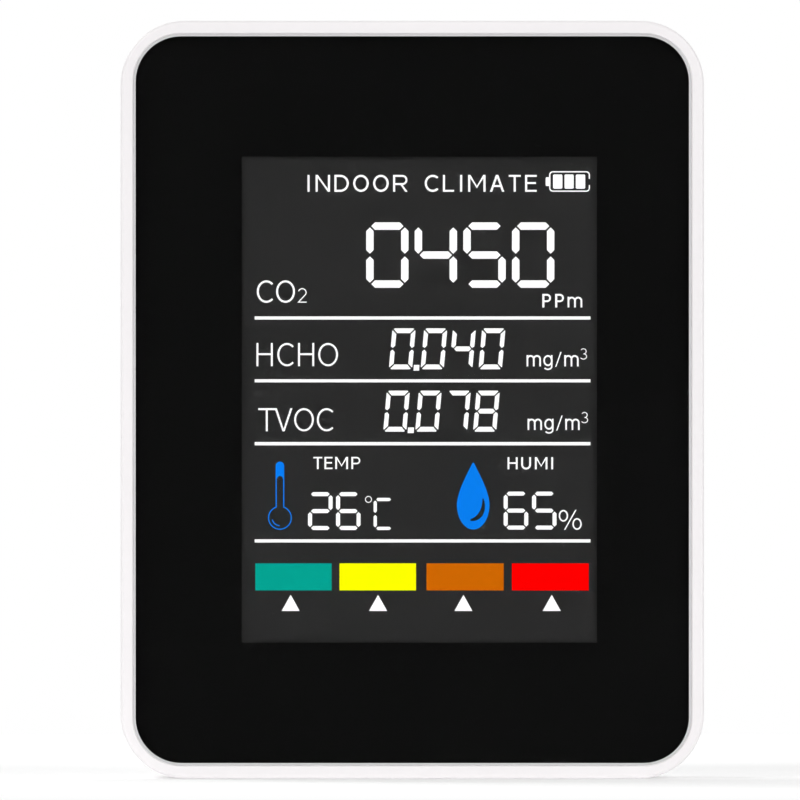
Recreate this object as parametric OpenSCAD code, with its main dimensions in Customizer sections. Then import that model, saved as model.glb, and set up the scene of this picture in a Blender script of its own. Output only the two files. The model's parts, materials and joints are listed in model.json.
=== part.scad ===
// Desktop air quality monitor: a two-part case with a glass-fronted segment
// display, gas sensors and a battery inside, a power button in its side and a
// fold-out stand in its back.
// Millimetres. +Z is up and the screen faces -Y. The origin is under the
// middle of the case, on the surface that it stands on.

/* [Case] */
// Width of the case
body_w = 69.3; // [68.5:0.1:71]
// Height of the case
body_h = 90; // [89:0.5:92]
// Depth of the case, front rim to back
body_d = 27; // [27:0.5:30]
// Radius of the four corners, seen from the front
corner_r = 7.6; // [7:0.1:8.5]
// Thickness of the side walls
wall = 1.8; // [1.6:0.1:1.9]
// Thickness of the back wall
back_wall = 2; // [1.8:0.1:2.2]
// Rounding where the sides meet the back
back_edge_r = 3; // [2:0.5:3]
// Rounding of the front rim's outer edge
front_edge_r = 0.4; // [0.3:0.1:0.8]
// Gap that shows between the two halves of the case
seam_gap = 0.3; // [0.2:0.1:0.5]

/* [Front lens] */
// Width of the flat rim round the lens
rim_w = 1.48; // [1.2:0.02:1.8]
// Corner radius of the recess that holds the lens
lens_recess_r = 5.7; // [5:0.1:6.2]
// Thickness of the lens
lens_t = 1.5; // [1:0.1:1.6]
// Clear border of the lens outside its black mask
lens_border = 0.23; // [0.15:0.01:0.4]

/* [Display] */
// Width of the clear window in the mask
window_w = 42.2; // [40:0.1:43]
// Height of the clear window in the mask
window_h = 57.74; // [56:0.01:58.5]
// How far the window sits to the right of the middle
window_x = 0.84; // [0.5:0.01:1]

/* [Stand] */
// Width of the fold-out stand
stand_w = 30; // [26:1:30]
// Radius of the hinge pin
hinge_pin_r = 0.8; // [0.7:0.05:0.85]

/* [Vents] */
// Slots on each side that wrap round to the back
vent_slots = 9; // [5:1:9]
// Height of each slot
vent_slot_h = 1.6; // [1.2:0.1:1.8]
// Distance from one slot to the next
vent_pitch = 4.2; // [4:0.1:4.2]
// Radius of each hole in the round sensor grille
grille_hole_r = 0.8; // [0.6:0.1:0.9]

/* [Hidden] */

yf = -body_d / 2;                 // plane of the front rim
yb = body_d / 2;                  // plane of the back
cz = body_h / 2;
seam_y = 2.5;                     // end of the front housing's walls
recess_w = body_w - 2 * rim_w;
recess_h = body_h - 2 * rim_w - 0.1;
lens_y0 = yf + 0.1;
lens_y1 = lens_y0 + lens_t;
mask_t = 0.1;
mask_w = recess_w - 0.14 - 2 * lens_border;
mask_h = recess_h - 0.14 - 2 * lens_border;
mask_r = lens_recess_r - 0.07 - lens_border;
tape_t = 0.2;
deck_y0 = lens_y1 + mask_t + tape_t;  // front of the deck that carries the lens
deck_y1 = deck_y0 + 1.6;
back_in = yb - back_wall;
glass_w = 48;                     // display glass, wider than the window it shows in
glass_z0 = 11;
glass_z1 = 77;
pol_y0 = lens_y1 + mask_t + 0.4;
glass_y0 = pol_y0 + 0.2;
glass_y1 = glass_y0 + 1.4;
guide_y0 = glass_y1 + 0.4;
guide_y1 = guide_y0 + 2;
holder_y1 = guide_y1 + 1;
board_y0 = -5.5;
board_y1 = -3.9;
board_w = 62.4;
board_z0 = 3.5;
board_z1 = 86.5;
post_x = 28.7;
post_z = [24, 66];
boss_x = 27.6;
boss_z = [8.2, body_h - 8.2];
button_y = -2.1;
button_z = 72;
button_travel = 0.5;
usb_y = -2.6;
usb_z = 17;
vent_z0 = cz - 2.2 - vent_pitch * (vent_slots - 1) / 2;
hinge_y = yb - 1.4;
knuckle_r = 1.4;
hinge_z = vent_z0 + vent_pitch * (vent_slots - 1);  // level with the top vent slot
pocket_y = hinge_y - 1.72;
pocket_w = stand_w + 0.6;
pocket_z0 = 6.2;
pocket_z1 = hinge_z + knuckle_r + 0.25;
stand_z0 = 6.5;
$fn = 48;

// ---- shared shapes ----

// Draws its 2D child in X and Z, and gives it thickness from y0 to y1.
module slab(y0, y1) {
    translate([0, y1, 0]) rotate([90, 0, 0]) linear_extrude(height = y1 - y0) children();
}

// Draws its 2D child in Y and Z, and gives it thickness from x0 to x1.
module side_slab(x0, x1) {
    translate([x0, 0, 0]) rotate([90, 0, 90]) linear_extrude(height = x1 - x0) children();
}

module rrect(w, h, r) {
    square([w - 2 * r, h], center = true);
    square([w, h - 2 * r], center = true);
    for (x = [-1, 1], z = [-1, 1]) translate([x * (w / 2 - r), z * (h / 2 - r)]) circle(r = r);
}

module case_rect(w, h, r) {
    translate([0, cz]) rrect(w, h, r);
}

// A slot with round ends, long in its second direction.
module obround(w, l) {
    square([w, l - w], center = true);
    for (s = [-1, 1]) translate([0, s * (l - w) / 2]) circle(r = w / 2);
}

// Runs its 2D child round a rounded rectangle about the case's middle. The
// child's x is the distance out from a corner's axis, and its y is Y.
module sweep_rect(w, h, r) {
    translate([0, 0, cz]) rotate([-90, 0, 0]) {
        for (i = [0:3])
            translate([(i == 0 || i == 3 ? 1 : -1) * (w / 2 - r), (i < 2 ? 1 : -1) * (h / 2 - r), 0])
                rotate([0, 0, 90 * i]) rotate_extrude(angle = 90, $fn = 96) children();
        for (a = [0, 180]) rotate([0, 0, a]) translate([w / 2 - r, 0, 0])
            rotate([90, 0, 0]) linear_extrude(height = h - 2 * r, center = true) children();
        for (a = [90, 270]) rotate([0, 0, a]) translate([h / 2 - r, 0, 0])
            rotate([90, 0, 0]) linear_extrude(height = w - 2 * r, center = true) children();
    }
}

module edge_profile(r, y0, y1, f0, f1) {
    difference() {
        translate([0, y0]) square([r, y1 - y0]);
        if (f1 > 0) translate([r - f1, y1 - f1]) difference() {
            square([f1 + 1, f1 + 1]);
            circle(r = f1);
        }
        if (f0 > 0) translate([r - f0, y0 + f0]) difference() {
            translate([0, -f0 - 1]) square([f0 + 1, f0 + 1]);
            circle(r = f0);
        }
    }
}

// A block with rounded corners, and with its front and back edges rounded too.
module case_block(w, h, r, y0, y1, f0, f1) {
    sweep_rect(w, h, r) edge_profile(r, y0, y1, f0, f1);
    translate([-(w / 2 - r), y0, cz - (h / 2 - r)]) cube([w - 2 * r, y1 - y0, h - 2 * r]);
}

module rod_y(r, y0, y1) {
    translate([0, y1, 0]) rotate([90, 0, 0]) cylinder(r = r, h = y1 - y0);
}

module rod_x(r, x0, x1) {
    translate([x0, 0, 0]) rotate([0, 90, 0]) cylinder(r = r, h = x1 - x0);
}

module box(x0, x1, y0, y1, z0, z1) {
    translate([x0, y0, z0]) cube([x1 - x0, y1 - y0, z1 - z0]);
}

module at_posts() {
    for (x = [-1, 1], z = post_z) translate([x * post_x, 0, z]) children();
}

module at_bosses() {
    for (x = [-1, 1], z = boss_z) translate([x * boss_x, 0, z]) children();
}

// A pan-head screw along Y, its head towards the back, with a cross recess.
module screw(seat_y, tip_y, head_r, head_h, shank_r) {
    difference() {
        union() {
            rod_y(head_r, seat_y, seat_y + head_h * 0.6);
            translate([0, seat_y + head_h, 0]) rotate([90, 0, 0])
                cylinder(r1 = head_r * 0.7, r2 = head_r, h = head_h * 0.4);
            rod_y(shank_r, tip_y + shank_r, seat_y + 0.1);
            translate([0, tip_y + shank_r, 0]) rotate([90, 0, 0])
                cylinder(r1 = shank_r, r2 = 0.15, h = shank_r);
        }
        for (a = [0, 90]) rotate([0, a + 20, 0])
            translate([-head_r * 0.58, seat_y + head_h * 0.35, -head_r * 0.12])
                cube([head_r * 1.16, head_h, head_r * 0.24]);
    }
}

function unit(v) = v / norm(v);
function tangent(p, i) = unit(p[min(i + 1, len(p) - 1)] - p[max(i - 1, 0)]);
// A round tube along the points p, which keep clear of the Y direction.
module wire(p, d, sides = 8) {
    n = len(p);
    pts = [for (i = [0:n - 1]) let (t = tangent(p, i), u = unit(cross(t, [0, 1, 0])), v = cross(u, t))
        for (k = [0:sides - 1]) p[i] + d / 2 * (cos(360 * k / sides) * u + sin(360 * k / sides) * v)];
    faces = concat(
        [[for (k = [0:sides - 1]) k]],
        [for (i = [0:n - 2], k = [0:sides - 1]) [i * sides + k, (i + 1) * sides + k,
            (i + 1) * sides + (k + 1) % sides, i * sides + (k + 1) % sides]],
        [[for (k = [sides - 1:-1:0]) (n - 1) * sides + k]]);
    polyhedron(points = pts, faces = faces);
}

// A ribbon of thickness t along 2D points.
module ribbon(p, t) {
    n = len(p);
    side = function (s) [for (i = [0:n - 1]) let (d = unit(p[min(i + 1, n - 1)] - p[max(i - 1, 0)]))
        p[i] + s * t / 2 * [-d[1], d[0]]];
    a = side(1);
    b = side(-1);
    polygon(concat(a, [for (i = [n - 1:-1:0]) b[i]]));
}

// ---- case ----

module front_housing() {
    color("whitesmoke") union() {
        difference() {
            case_block(body_w, body_h, corner_r, yf, seam_y, front_edge_r, 0);
            slab(deck_y1, seam_y + 1) case_rect(body_w - 2 * wall, body_h - 2 * wall, corner_r - wall);
            // recess for the lens, with a fine chamfer at its lip
            slab(yf - 1, lens_y1 + 0.02) case_rect(recess_w, recess_h, lens_recess_r);
            // deeper inside the narrow ledge that backs the lens's clear border
            slab(yf - 1, deck_y0) case_rect(mask_w + 0.06, mask_h + 0.06, mask_r + 0.03);
            sweep_rect(recess_w, recess_h, lens_recess_r)
                polygon([[lens_recess_r - 0.3, yf - 0.1], [lens_recess_r + 0.25, yf - 0.1],
                    [lens_recess_r + 0.15, yf], [lens_recess_r - 0.02, yf + 0.17], [lens_recess_r - 0.3, yf + 0.17]]);
            // opening for the display, with a notch for its ribbon
            box(window_x - 24.5, window_x + 24.5, yf, deck_y1 + 1, glass_z0 - 0.5, glass_z1 + 0.5);
            box(window_x - 13.5, window_x + 13.5, yf, deck_y1 + 1, 8, glass_z0);
            // step that takes the rear cover's tongue
            slab(seam_y - 1.5, seam_y + 1) case_rect(body_w - 2 * (wall - 0.7), body_h - 2 * (wall - 0.7), corner_r - wall + 0.7);
            // charging port and power button, in the right-hand side
            translate([0, usb_y, usb_z]) side_slab(body_w / 2 - wall - 1, body_w / 2 + 1) rrect(3.1, 8.2, 0.7);
            translate([0, usb_y, usb_z]) side_slab(body_w / 2 - 0.6, body_w / 2 + 1) obround(6.4, 11.8);
            translate([0, button_y, button_z]) side_slab(body_w / 2 - wall - 1, body_w / 2 + 1) obround(4.4, 10.4);
            translate([0, button_y, button_z]) side_slab(body_w / 2 - 0.5, body_w / 2 + 1) obround(7, 13);
        }
        difference() {
            union() {
                at_bosses() rod_y(3, deck_y1 - 0.3, seam_y - 0.3);
                at_posts() rod_y(1.9, deck_y1 - 0.3, board_y0);
                // ribs that tie the bosses to the walls
                for (x = [-1, 1], z = [0, 1])
                    box(min(x * (boss_x + 2.6), x * (body_w / 2 - 1)), max(x * (boss_x + 2.6), x * (body_w / 2 - 1)),
                        deck_y1 - 0.3, -6, boss_z[z] - 0.6, boss_z[z] + 0.6);
            }
            at_bosses() rod_y(1.05, -5, seam_y);
            at_posts() rod_y(0.85, deck_y1 + 0.6, board_y0 + 1);
        }
    }
}

module rear_cover() {
    color("whitesmoke") difference() {
        union() {
            difference() {
                case_block(body_w, body_h, corner_r, seam_y + seam_gap, yb, 0, back_edge_r);
                slab(seam_y, back_in) case_rect(body_w - 2 * wall, body_h - 2 * wall, corner_r - wall);
            }
            // tongue that locates in the front housing
            difference() {
                slab(seam_y - 1.4, seam_y + seam_gap + 0.4)
                    case_rect(body_w - 2 * (wall - 0.65), body_h - 2 * (wall - 0.65), corner_r - wall + 0.65);
                slab(seam_y - 2, seam_y + 2) case_rect(body_w - 2 * wall, body_h - 2 * wall, corner_r - wall);
            }
            // pocket for the stand, and pads behind its two finger scoops
            box(-pocket_w / 2 - 2.4, pocket_w / 2 + 2.4, pocket_y - 1.5, back_in + 0.3, pocket_z0 - 1.6, pocket_z1 + 2.4);
            box(-pocket_w / 2 - 6.6, pocket_w / 2 + 6.6, back_in - 1.6, back_in + 0.3, 9, 24);
            box(pocket_w / 2 + 2, 22, back_in - 1.1, back_in + 0.3, hinge_z - 1.6, hinge_z + 1.6);
            at_bosses() rod_y(3.2, seam_y - 0.1, back_in + 0.3);
        }
        // stand pocket, round at the bottom like the stand, with relief for the two stop tabs
        slab(pocket_y, yb + 1) {
            translate([0, (pocket_z0 + 6 + pocket_z1) / 2]) rrect(pocket_w, pocket_z1 - pocket_z0 - 6, 0.4);
            translate([0, pocket_z0 + 10]) rrect(pocket_w, 20, 3.3);
        }
        for (x = [-9, 9]) box(x - 2.3, x + 2.3, pocket_y, hinge_y + 0.75, pocket_z1 - 1, hinge_z + 2.35);
        // pin bore, blind at one end; the pin goes in through the top vent slot
        translate([0, hinge_y, hinge_z]) rod_x(hinge_pin_r + 0.02, -pocket_w / 2 - 1.8, 24);
        for (x = [-1, 1]) translate([x * pocket_w / 2, 0, 16.5]) rod_y(5, back_in - 0.2, yb + 1);
        // case screw seats
        at_bosses() rod_y(1.25, 0, 8.1);
        at_bosses() rod_y(2.4, 8, yb + 1);
        // vents: wrap-round slots, a row in the top and the round sensor grille
        for (s = [-1, 1], i = [0:vent_slots - 1])
            box(s > 0 ? 23.6 : -40, s > 0 ? 40 : -23.6, 5.6, yb + 1,
                vent_z0 + i * vent_pitch - vent_slot_h / 2, vent_z0 + i * vent_pitch + vent_slot_h / 2);
        for (i = [-4:4]) translate([i * 4.4, 8, body_h - wall - 1]) linear_extrude(height = wall + 2) obround(1.6, 5);
        for (q = [-2:2], k = [-2:2]) if (abs(q + k) <= 2)
            translate([2.7 * (q + k / 2), 0, 76 + 2.7 * k * sqrt(3) / 2]) rod_y(grille_hole_r, back_in - 1, yb + 1);
    }
}

module case_screws() {
    color("silver") at_bosses() screw(8, -4, 2.1, 1.5, 1);
}

module vent_mesh(s) {
    z0 = vent_z0 - 2.2;
    z1 = vent_z0 + vent_pitch * (vent_slots - 1) + 2.2;
    color("dimgray") mirror([s > 0 ? 0 : 1, 0, 0]) {
        box(22.2, body_w / 2 - wall - 0.05, back_in - 0.35, back_in - 0.05, z0, z1);
        box(body_w / 2 - wall - 0.35, body_w / 2 - wall - 0.05, 4.4, back_in - 0.05, z0, z1);
    }
}

// ---- front lens and display ----

module front_lens() {
    color([0.85, 0.9, 0.92, 0.4]) case_block(recess_w - 0.14, recess_h - 0.14, lens_recess_r - 0.07, lens_y0, lens_y1, 0.04, 0);
}

module lens_mask() {
    color("black") slab(lens_y1 + 0.01, lens_y1 + mask_t) difference() {
        case_rect(mask_w, mask_h, mask_r);
        translate([window_x, cz]) square([window_w, window_h], center = true);
    }
}

module lens_adhesive() {
    color("dimgray") slab(lens_y1 + mask_t, deck_y0) difference() {
        case_rect(recess_w - 2, recess_h - 2, lens_recess_r - 1);
        translate([window_x, (glass_z0 + glass_z1) / 2]) square([50, glass_z1 - glass_z0 + 2], center = true);
        translate([window_x, 10]) square([28, 5], center = true);
    }
}

module display_gasket() {
    color("black") slab(lens_y1 + mask_t, pol_y0) difference() {
        translate([window_x, cz + 0.5]) square([47.6, 61.4], center = true);
        translate([window_x, cz]) square([window_w + 1, window_h + 1], center = true);
    }
}

module display_layer(y0, y1, w, z0, z1) {
    box(window_x - w / 2, window_x + w / 2, y0, y1, z0, z1);
}

module front_polarizer() {
    color([0.12, 0.12, 0.13]) display_layer(pol_y0, glass_y0, 46.5, 15.6, 76);
}

module lcd_glass() {
    color([0.6, 0.75, 0.7, 0.5]) {
        display_layer(glass_y0, glass_y0 + 0.7, glass_w, 15, glass_z1);
        display_layer(glass_y0 + 0.7, glass_y1, glass_w, glass_z0, glass_z1);
    }
}

module rear_polarizer() {
    color([0.2, 0.2, 0.22]) display_layer(glass_y1, glass_y1 + 0.2, 46.5, 15.6, 76);
}

module diffuser_sheet() {
    color("ivory") display_layer(glass_y1 + 0.2, guide_y0, 46.5, 16.4, 76);
}

module light_guide() {
    color([0.9, 0.95, 1, 0.6]) display_layer(guide_y0, guide_y1, 46.5, 16.6, 76);
}

module reflector_sheet() {
    color("white") display_layer(guide_y1, guide_y1 + 0.2, 46.5, 16.4, 76);
}

module backlight_strip() {
    color("lightyellow") display_layer(guide_y0, guide_y1, 42, 14.5, 15.1);
}

module backlight_leds() {
    color("gold") for (i = [-2.5:2.5]) translate([window_x + i * 7.4, 0, 0])
        box(-1.5, 1.5, guide_y0 + 0.3, guide_y1 - 0.3, 15.1, 16.5);
}

module display_holder() {
    color("white") difference() {
        box(window_x - 25.5, window_x + 25.5, deck_y1 + 0.1, holder_y1, 9.6, 78.4);
        // seat for the glass, light box, and slot for the ribbon
        box(window_x - 24.15, window_x + 24.15, deck_y1 - 1, glass_y1 + 0.05, glass_z0 - 0.15, glass_z1 + 0.15);
        box(window_x - 23.4, window_x + 23.4, deck_y1 - 1, guide_y1 + 0.25, 14.3, 76.15);
        for (i = [-1:1]) translate([window_x + i * 14, 0, 45]) box(-4, 4, guide_y1, holder_y1 + 1, -18, 18);
        at_bosses() rod_y(3.3, deck_y1 - 1, holder_y1 + 1);
    }
}

module display_flex() {
    color("darkorange") side_slab(window_x - 12.5, window_x + 12.5)
        ribbon([[-10.56, 14.6], [-10.56, 10.4], [-10.45, 9.7], [-10.05, 9.15], [-9.4, 8.9], [-8.6, 8.85],
            [-7.7, 8.85], [-7, 8.7], [-6.55, 8.3], [-6.4, 7.7], [-6.4, 5.2]], 0.12);
}

module flex_connector() {
    color("black") difference() {
        box(window_x - 13.5, window_x + 13.5, -7.3, board_y0, 4.2, 7.2);
        box(window_x - 12.7, window_x + 12.7, -6.5, -6.3, 5, 8);
    }
}

// ---- electronics ----

module main_board() {
    color("darkgreen") difference() {
        slab(board_y0, board_y1) translate([0, (board_z0 + board_z1) / 2]) square([board_w, board_z1 - board_z0], center = true);
        at_bosses() rod_y(3.7, board_y0 - 1, board_y1 + 1);
        for (x = [-1, 1], z = [0, 1]) translate([x * (boss_x + 3), board_y0 - 1, z == 0 ? boss_z[0] - 6 : boss_z[1] - 1.4])
            translate([-3.7, 0, 0]) cube([7.4, 4, 7.4]);
        for (x = [-1, 1], z = [0, 1]) translate([x * boss_x, board_y0 - 1, z == 0 ? boss_z[0] - 8 : boss_z[1]])
            translate([-3.7, 0, 0]) cube([7.4, 4, 8]);
        at_posts() rod_y(1.1, board_y0 - 1, board_y1 + 1);
    }
}

module board_screws() {
    color("silver") at_posts() screw(board_y1, -8.6, 1.7, 1.3, 0.8);
}

module gull_chip(x, z, w, l, h, legs, pitch, both) {
    translate([x, board_y1, z]) {
        translate([-w / 2, 0.12, -l / 2]) cube([w, h - 0.12, l]);
        for (s = [-1, 1], i = [0:legs - 1]) {
            translate([s * (w / 2 + 0.45), 0, (i - (legs - 1) / 2) * pitch]) translate([-0.5, 0, -0.15]) cube([1, 0.25, 0.3]);
            if (both) translate([(i - (legs - 1) / 2) * pitch, 0, s * (l / 2 + 0.45)]) translate([-0.15, 0, -0.5]) cube([0.3, 0.25, 1]);
        }
    }
}

module microcontroller() {
    color([0.12, 0.12, 0.12]) gull_chip(17.5, 26, 7, 7, 1.5, 11, 0.5, true);
}

module charge_controller() {
    color([0.12, 0.12, 0.12]) gull_chip(19.8, 12.5, 3.9, 4.9, 1.5, 4, 1.27, false);
}

module voltage_regulator() {
    color([0.12, 0.12, 0.12]) gull_chip(13.6, 12.5, 2.6, 4.4, 1.4, 3, 1.5, false);
}

module power_inductor() {
    color([0.25, 0.25, 0.25]) translate([21.6, 0, 6.7]) {
        slab(board_y1, board_y1 + 0.6) square([4.6, 4.6], center = true);
        rod_y(1.6, board_y1 + 0.6, board_y1 + 2);
        rod_y(2.2, board_y1 + 2, board_y1 + 2.6);
    }
}

module clock_crystal() {
    color("silver") slab(board_y1, board_y1 + 1) translate([17.5, 19]) rrect(5, 2, 0.6);
}

module board_capacitors() {
    color("tan") for (p = [[12.4, 21, 1], [12.4, 23.4, 1], [12.4, 30, 1], [22.6, 21.4, 0], [22.8, 30.4, 1], [15, 31.6, 0],
            [19.4, 31.6, 0], [13.4, 6.4, 1], [16.4, 6.4, 1], [26.2, 36.4, 1], [26.2, 39, 1], [29, 44.6, 0], [29, 46.8, 0],
            [-26.6, 70, 0], [-26.6, 72.4, 0], [-22, 66.6, 1], [22.6, 78, 0], [22.6, 80.4, 0]])
        translate([p[0], 0, p[1]]) box(p[2] > 0 ? -0.5 : -1, p[2] > 0 ? 0.5 : 1, board_y1, board_y1 + 0.8,
            p[2] > 0 ? -1 : -0.5, p[2] > 0 ? 1 : 0.5);
}

module battery_tape() {
    color("lightyellow") box(-22, 8, board_y1, board_y1 + 0.5, 13, 57);
}

module battery_cell() {
    color("gainsboro") {
        translate([-7, 0, 34]) {
            slab(board_y1 + 0.5, board_y1 + 6) rrect(34, 48, 1.5);
            // folded seal with the protection circuit under the wrap
            box(-14, 14, board_y1 + 1.2, board_y1 + 4.2, 23.9, 26);
        }
    }
}

module battery_lead_red() {
    color("red") wire([[-9, -0.9, 60], [-9, -0.9, 60.8], [-8.7, -0.9, 61.8], [-8, -0.9, 62.7], [-7, -0.9, 63.3],
        [-5.6, -0.9, 63.6], [-2, -0.9, 63.7], [3, -0.9, 63.6], [8, -0.9, 63.5]], 1.1);
}

module battery_lead_black() {
    color([0.1, 0.1, 0.1]) wire([[-5, -0.9, 60], [-5, -0.9, 60.4], [-4.7, -0.9, 60.9], [-4.1, -0.9, 61.3],
        [-3.2, -0.9, 61.5], [-1, -0.9, 61.55], [3, -0.9, 61.5], [8, -0.9, 61.5]], 1.1);
}

module battery_plug() {
    color("white") difference() {
        box(8, 12.4, -2.9, 0.6, 60.2, 64.8);
        for (z = [61.5, 63.5]) box(11.2, 13, -1.6, -0.2, z - 0.6, z + 0.6);
    }
}

module battery_socket() {
    color("ivory") difference() {
        box(9.6, 15.8, board_y1, 1.3, 59.5, 65.1);
        box(9, 13, -3.05, 0.75, 60.05, 64.95);
        box(9, 13, 0, 2, 61.2, 63.8);
    }
}

module co2_sensor_headers() {
    color([0.1, 0.1, 0.1]) for (x = [-14.6, 14.6]) {
        box(x - 1.25, x + 1.25, board_y1, -1.4, 68, 83);
        for (i = [0:4]) translate([x, 0, 70.5 + 2.5 * i]) box(-0.3, 0.3, -0.2, 1, -0.3, 0.3);
    }
}

module co2_sensor_board() {
    color("darkgreen") difference() {
        box(-16.6, 16.6, -1.4, -0.2, 65.5, 85.5);
        for (x = [-14.6, 14.6], i = [0:4]) translate([x, 0, 70.5 + 2.5 * i]) rod_y(0.45, -2, 0.5);
    }
}

module co2_sensor_chamber() {
    color("gold") union() {
        translate([0, 0, 75.5]) slab(-0.2, 5.6) rrect(25, 17, 2.5);
        translate([0, 0, 75.5]) slab(5.5, 6.3) rrect(20, 12, 2);
    }
}

module co2_sensor_filter() {
    color("white") translate([0, 0, 75.5]) slab(6.3, 6.6) rrect(16, 8.6, 1);
}

module formaldehyde_sensor() {
    color([0.2, 0.2, 0.22]) translate([19.6, 0, 51.6]) difference() {
        union() {
            slab(board_y1, board_y1 + 1) square([15, 14.6], center = true);
            rod_y(7, board_y1 + 0.9, 4);
        }
        rod_y(4.6, 3.2, 5);
        for (a = [0:60:300]) rotate([0, a, 0]) translate([2.9, 0, 0]) rod_y(0.7, 2.4, 5);
    }
}

module formaldehyde_filter() {
    color("white") translate([19.6, 3.2, 51.6]) rod_y(4.5, 0.02, 0.4);
}

module voc_sensor() {
    color("silver") translate([19.6, 0, 38]) difference() {
        union() {
            rod_y(5, board_y1, board_y1 + 0.8);
            rod_y(4.6, board_y1 + 0.7, 2.6);
        }
        rod_y(3.2, 1.9, 4);
    }
}

module voc_sensor_screen() {
    color("gray") translate([19.6, 0, 38]) rod_y(3.15, 1.95, 2.25);
}

module temp_humidity_sensor() {
    color("white") difference() {
        box(23.6, 30.4, board_y1, -0.2, 48.8 + 11.4, 48.8 + 15.2);
        for (i = [0:3]) box(24.7 + 1.4 * i, 25.3 + 1.4 * i, -1.2, 1, 60.9, 63.3);
    }
}

// ---- charging port and power button ----

module usb_outline(g) {
    polygon([[-1.25 - g, -3.7 - g], [-1.25 - g, 3.7 + g], [0.35, 3.7 + g], [1.25 + g, 2.7 + g], [1.25 + g, -2.7 - g], [0.35, -3.7 - g]]);
}

module usb_port() {
    color("silver") translate([0, usb_y, usb_z]) difference() {
        side_slab(28, 33.5) usb_outline(0);
        side_slab(28.5, 34) usb_outline(-0.25);
    }
}

module usb_tongue() {
    color([0.1, 0.1, 0.1]) translate([0, usb_y, usb_z]) {
        box(28.5, 29.4, -0.95, 0.95, -2.1, 2.1);
        box(29.3, 33, -0.2, 0.45, -1.9, 1.9);
    }
}

module switch_body() {
    color([0.1, 0.1, 0.1]) translate([0, button_y, button_z]) difference() {
        box(27, 30.7, board_y1 - button_y, 1.8, -3, 3);
        rod_x(1.15, 29.2, 31);
    }
}

module switch_plunger() {
    color("ivory") translate([0, button_y, button_z]) rod_x(1, 29.9, 31.9);
}

module power_button() {
    face = body_w / 2 - 0.1;
    color("gainsboro") translate([0, button_y, button_z]) difference() {
        union() {
            side_slab(32.5, face) obround(4.1, 10.1);
            side_slab(31.9, 32.6) obround(5.4, 11.4);
        }
        translate([face + 23.7, 0, 0]) rotate([90, 0, 0]) cylinder(r = 24, h = 8, center = true, $fn = 128);
    }
}

// ---- stand ----

module kickstand() {
    color("whitesmoke") difference() {
        union() {
            difference() {
                slab(yb - 1.6, yb) translate([0, (stand_z0 + hinge_z) / 2]) square([stand_w, hinge_z - stand_z0], center = true);
                for (s = [-1, 1]) translate([s * (stand_w / 2 - 3), 0, stand_z0 + 3]) difference() {
                    box(s > 0 ? 0 : -4, s > 0 ? 4 : 0, yb - 3, yb + 1, -4, 0);
                    rod_y(3, yb - 4, yb + 2);
                }
            }
            translate([0, hinge_y, hinge_z]) rod_x(knuckle_r, -stand_w / 2, stand_w / 2);
            // stiffening ribs on the inner face, a foot bar and the two stop tabs
            for (x = [-12.4, -4.2, 4.2, 12.4]) box(x - 0.6, x + 0.6, pocket_y + 0.4, yb - 1.5, stand_z0 + 5, hinge_z - 0.6);
            box(-stand_w / 2 + 3.2, stand_w / 2 - 3.2, pocket_y + 0.4, yb - 1.5, stand_z0 + 2.4, stand_z0 + 3.8);
            for (x = [-9, 9]) box(x - 1.8, x + 1.8, hinge_y - 0.4, hinge_y + 0.4, hinge_z, hinge_z + 2);
        }
        translate([0, hinge_y, hinge_z]) rod_x(hinge_pin_r + 0.05, -stand_w, stand_w);
        // shallow grip grooves near the foot
        for (i = [0:3]) box(-8, 8, yb - 0.35, yb + 1, stand_z0 + 4 + 1.8 * i, stand_z0 + 4.8 + 1.8 * i);
    }
}

module stand_hinge_pin() {
    color("silver") translate([0, hinge_y, hinge_z]) rod_x(hinge_pin_r, -pocket_w / 2 - 1.7, pocket_w / 2 + 1.7);
}

front_housing();
rear_cover();
front_lens();
lens_mask();
lens_adhesive();
display_gasket();
front_polarizer();
lcd_glass();
rear_polarizer();
diffuser_sheet();
light_guide();
reflector_sheet();
backlight_strip();
backlight_leds();
display_holder();
display_flex();
flex_connector();
main_board();
board_screws();
microcontroller();
charge_controller();
voltage_regulator();
power_inductor();
clock_crystal();
board_capacitors();
battery_cell();
battery_tape();
battery_lead_red();
battery_lead_black();
battery_plug();
battery_socket();
co2_sensor_board();
co2_sensor_headers();
co2_sensor_chamber();
co2_sensor_filter();
formaldehyde_sensor();
formaldehyde_filter();
voc_sensor();
voc_sensor_screen();
temp_humidity_sensor();
usb_port();
usb_tongue();
switch_body();
switch_plunger();
power_button();
kickstand();
stand_hinge_pin();
case_screws();
vent_mesh(-1);  // vent_mesh_left
vent_mesh(1);  // vent_mesh_right
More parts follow.
